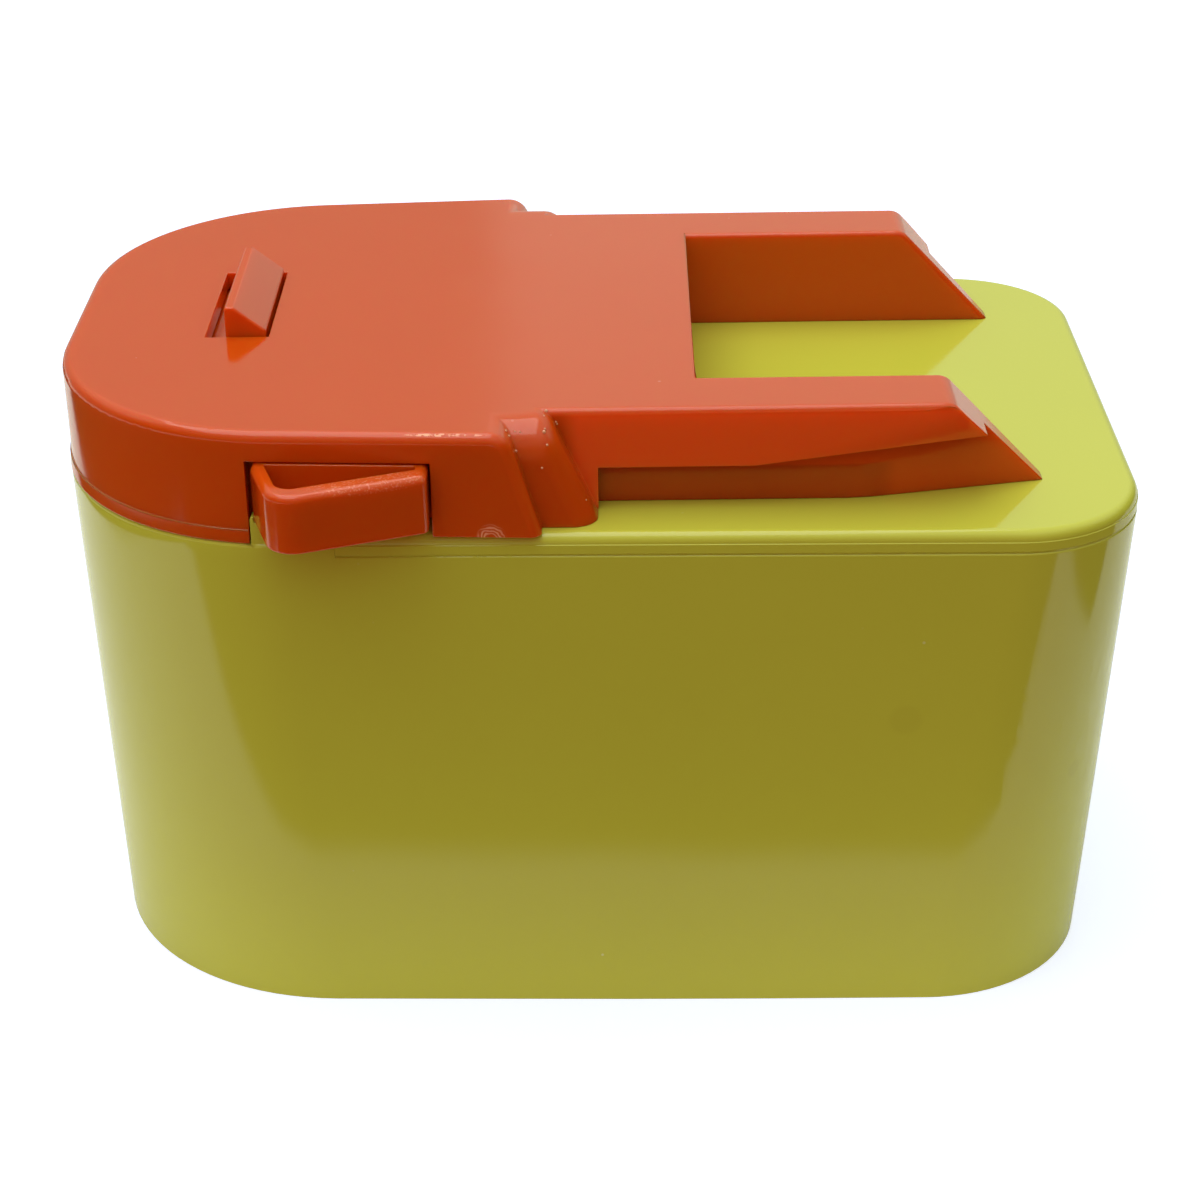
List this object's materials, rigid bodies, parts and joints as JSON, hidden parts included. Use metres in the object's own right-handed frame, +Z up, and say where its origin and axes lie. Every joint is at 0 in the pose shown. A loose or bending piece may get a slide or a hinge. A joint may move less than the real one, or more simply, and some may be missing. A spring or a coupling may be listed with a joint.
{
  "type": "battery adapter",
  "caption": "Green drafted housing with a stem socket below and an orange rail head above, with a sprung wedge latch and side release buttons.",
  "frame": {"origin": "middle of the underside, halfway along the length and on the middle plane", "axes": "+X from the rounded nose to the tail, the way the tool slides off; +Y to the rear release button; +Z up"},
  "size_m": [0.1186, 0.0902, 0.0754],
  "materials": {
    "green_plastic": "glossy moulded ABS, lime green",
    "orange_plastic": "glossy moulded ABS, orange",
    "black_plastic": "moulded glass-filled nylon, black",
    "plated_brass": "nickel-plated brass strip",
    "spring_steel": "drawn spring wire",
    "zinc_steel": "zinc-plated steel",
    "red_insulation": "silicone insulation, red",
    "black_insulation": "silicone insulation, black",
    "yellow_insulation": "silicone insulation, yellow",
    "resistor_enamel": "enamelled barrel with plain bands"
  },
  "bodies": {
    "base": {"housing": "green_plastic", "lid": "green_plastic", "interface_head": "orange_plastic", "latch_spring": "spring_steel", "button_spring_front": "spring_steel", "button_spring_rear": "spring_steel", "terminal_block": "black_plastic", "terminal_clip_positive": "plated_brass", "terminal_clip_negative": "plated_brass", "terminal_clip_signal": "plated_brass", "socket_sleeve": "black_plastic", "contact_carrier": "black_plastic", "stem_contact_positive": "plated_brass", "stem_contact_negative": "plated_brass", "stem_contact_signal": "plated_brass", "lead_positive": "red_insulation", "lead_negative": "black_insulation", "lead_signal": "yellow_insulation", "identification_resistor": "resistor_enamel", "housing_screws": "zinc_steel", "head_screws": "zinc_steel", "carrier_screws": "zinc_steel"},
    "latch": {"latch": "orange_plastic"},
    "button_front": {"release_button_front": "orange_plastic"},
    "button_rear": {"release_button_rear": "orange_plastic"}
  },
  "joints": [
    {"name": "front_button_slide", "type": "slide", "parent": "base", "child": "button_front", "axis": [0, 1, 0], "range_m": [0, 0.0035], "stiffness_N_per_m": 400, "springref_m": -0.004, "deforming": ["button_spring_front"]},
    {"name": "rear_button_slide", "type": "slide", "parent": "base", "child": "button_rear", "axis": [0, -1, 0], "range_m": [0, 0.0035], "stiffness_N_per_m": 400, "springref_m": -0.004, "deforming": ["button_spring_rear"]},
    {"name": "latch_slide", "type": "slide", "parent": "base", "child": "latch", "axis": [0, 0, -1], "range_m": [0, 0.0035], "stiffness_N_per_m": 400, "springref_m": -0.004, "deforming": ["latch_spring"]}
  ],
  "couplings": [
    {"joint": "rear_button_slide", "follows": "front_button_slide", "ratio": 1},
    {"joint": "latch_slide", "follows": "front_button_slide", "ratio": 1}
  ]
}
